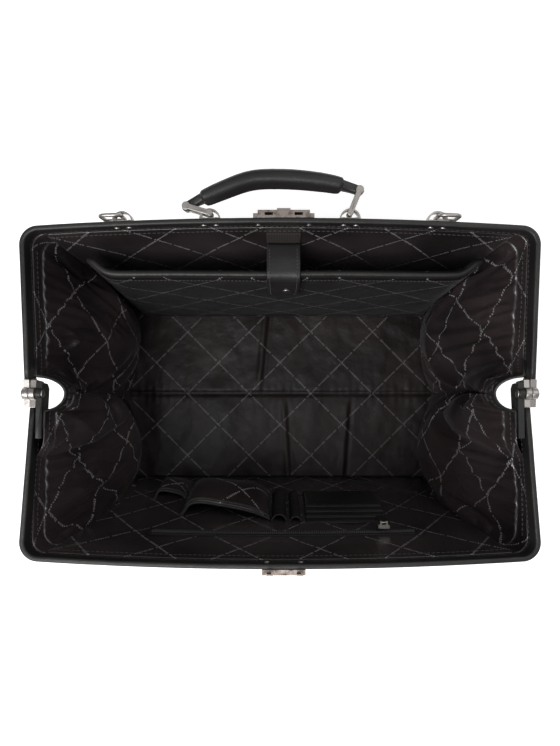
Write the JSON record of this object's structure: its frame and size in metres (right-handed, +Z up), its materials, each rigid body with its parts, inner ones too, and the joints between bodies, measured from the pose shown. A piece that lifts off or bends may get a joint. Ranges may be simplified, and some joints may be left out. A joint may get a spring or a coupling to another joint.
{
  "type": "doctor bag",
  "caption": "Doctor bag of black leather with a hinged two-part metal frame, wide mouth, satin lining, laptop pocket, zip, organiser, top handle and lock.",
  "frame": {"origin": "middle of the underside, on the centre foot's bottom face", "axes": "+X along the mouth, +Y towards the handle side, +Z up with the bag standing open"},
  "size_m": [0.46, 0.3553, 0.3077],
  "materials": {
    "black_leather": "smooth pull-up leather, slight sheen, fine grain",
    "black_trim": "smooth black leather binding with stitched edges",
    "satin_lining": "dark brown satin with a printed lattice of small dashes",
    "board": "stiff fibre board",
    "steel_strip": "plain spring steel",
    "nickel": "satin nickel plate, slightly worn",
    "aged_nickel": "aged nickel plate with brown tarnish",
    "textile_tape": "woven black tape",
    "hook_patch": "ribbed textile patch",
    "zip_plastic": "black moulded zip teeth"
  },
  "bodies": {
    "base": {"base_leather": "black_leather", "base_board": "board", "base_piping": "black_trim", "floor_lining": "satin_lining", "feet": "nickel", "gusset_left": "black_leather", "gusset_right": "black_leather", "gusset_lining_left": "satin_lining", "gusset_lining_right": "satin_lining"},
    "back_wall": {"back_wall": "black_leather", "back_lining": "satin_lining", "laptop_pocket": "satin_lining", "laptop_binding": "black_trim", "loop_patch": "hook_patch", "strap_root": "black_trim"},
    "strap_tab": {"strap_tab": "black_trim", "strap_snap": "nickel"},
    "front_wall": {"front_wall": "black_leather", "front_lining": "satin_lining", "zip_tape": "textile_tape", "zip_teeth": "zip_plastic", "card_holder": "black_trim", "pen_loops": "black_trim", "phone_pocket": "satin_lining", "small_pocket": "satin_lining"},
    "zip_slider": {"zip_slider": "nickel"},
    "zip_puller": {"zip_puller": "black_trim"},
    "back_frame": {"back_steel": "steel_strip", "back_cover": "black_trim", "back_caps": "nickel", "hinge_rivets": "nickel", "handle_loops": "nickel", "strap_loops": "nickel", "loop_rivets": "nickel", "lock_case": "aged_nickel", "lock_rivets": "nickel"},
    "front_frame": {"front_steel": "steel_strip", "front_cover": "black_trim", "front_caps": "nickel", "hinge_leaves": "black_trim", "catch_plate": "aged_nickel", "catch_rivets": "nickel"},
    "lock_bolt": {"lock_bolt": "aged_nickel", "lock_button": "nickel"},
    "handle_bar": {"right_bar": "nickel"},
    "right_shackle": {"right_shackle": "nickel"},
    "handle": {"right_handle_pin": "nickel", "handle_core": "steel_strip", "handle_grip": "black_leather", "handle_tabs": "black_leather", "left_handle_pin": "nickel"},
    "left_shackle": {"left_shackle": "nickel", "left_bar": "nickel"},
    "strap_ring_left": {"strap_ring_left": "nickel"},
    "strap_ring_right": {"strap_ring_right": "nickel"}
  },
  "joints": [
    {"name": "back_wall_lean", "type": "hinge", "parent": "base", "child": "back_wall", "pos_m": [0, 0.118, 0.008], "axis": [1, 0, 0], "range_deg": [0, 27.69]},
    {"name": "front_wall_lean", "type": "hinge", "parent": "base", "child": "front_wall", "pos_m": [0, -0.118, 0.008], "axis": [1, 0, 0], "range_deg": [-27.69, 0]},
    {"name": "back_fold", "type": "hinge", "parent": "back_wall", "child": "back_frame", "pos_m": [0, 0.1457, 0.28248], "axis": [1, 0, 0], "range_deg": [0, 58.31]},
    {"name": "frame_close", "type": "hinge", "parent": "back_frame", "child": "front_frame", "pos_m": [0, 0, 0.287], "axis": [1, 0, 0], "range_deg": [-170, 0]},
    {"name": "strap_lift", "type": "hinge", "parent": "back_wall", "child": "strap_tab", "pos_m": [0, 0.10659, 0.25047], "axis": [-1, 0, 0], "range_deg": [0, 110]},
    {"name": "zip_slide", "type": "slide", "parent": "front_wall", "child": "zip_slider", "axis": [1, 0, 0], "range_m": [-0.224, 0.022]},
    {"name": "zip_pull_lift", "type": "hinge", "parent": "zip_slider", "child": "zip_puller", "pos_m": [0.104, -0.12924, 0.22195], "axis": [1, 0, 0], "range_deg": [0, 110]},
    {"name": "handle_swing", "type": "hinge", "parent": "back_frame", "child": "handle_bar", "pos_m": [0, 0.1583, 0.29212], "axis": [1, 0, 0], "range_deg": [-8, 8]},
    {"name": "handle_sway", "type": "hinge", "parent": "handle_bar", "child": "right_shackle", "pos_m": [0.0616, 0.1583, 0.29212], "axis": [0, -0.0872, 0.9962], "range_deg": [-51.8, 0]},
    {"name": "handle_tilt", "type": "hinge", "parent": "right_shackle", "child": "handle", "pos_m": [0.06962, 0.17807, 0.29385], "axis": [0, -0.0872, 0.9962], "range_deg": [0, 41.86]},
    {"name": "left_shackle_turn", "type": "hinge", "parent": "handle", "child": "left_shackle", "pos_m": [-0.08215, 0.16425, 0.29264], "axis": [0, -0.0872, 0.9962], "range_deg": [-41.86, 0]},
    {"name": "left_ring_turn", "type": "hinge", "parent": "back_frame", "child": "strap_ring_left", "pos_m": [-0.13859, 0.15547, 0.29187], "axis": [0, -0.0872, 0.9962], "range_deg": [-165, 0]},
    {"name": "right_ring_turn", "type": "hinge", "parent": "back_frame", "child": "strap_ring_right", "pos_m": [0.13859, 0.15547, 0.29187], "axis": [0, -0.0872, 0.9962], "range_deg": [0, 165]},
    {"name": "lock_release", "type": "slide", "parent": "back_frame", "child": "lock_bolt", "axis": [1, 0, 0], "range_m": [0, 0.0022], "stiffness_N_per_m": 400}
  ],
  "couplings": [
    {"joint": "back_wall_lean", "follows": "frame_close", "ratio": -0.15996},
    {"joint": "front_wall_lean", "follows": "frame_close", "ratio": 0.15996},
    {"joint": "back_fold", "follows": "frame_close", "ratio": -0.34004},
    {"joint": "handle_tilt", "follows": "handle_sway", "ratio": -0.79836},
    {"joint": "left_shackle_turn", "follows": "handle_sway", "ratio": 0.79836}
  ]
}
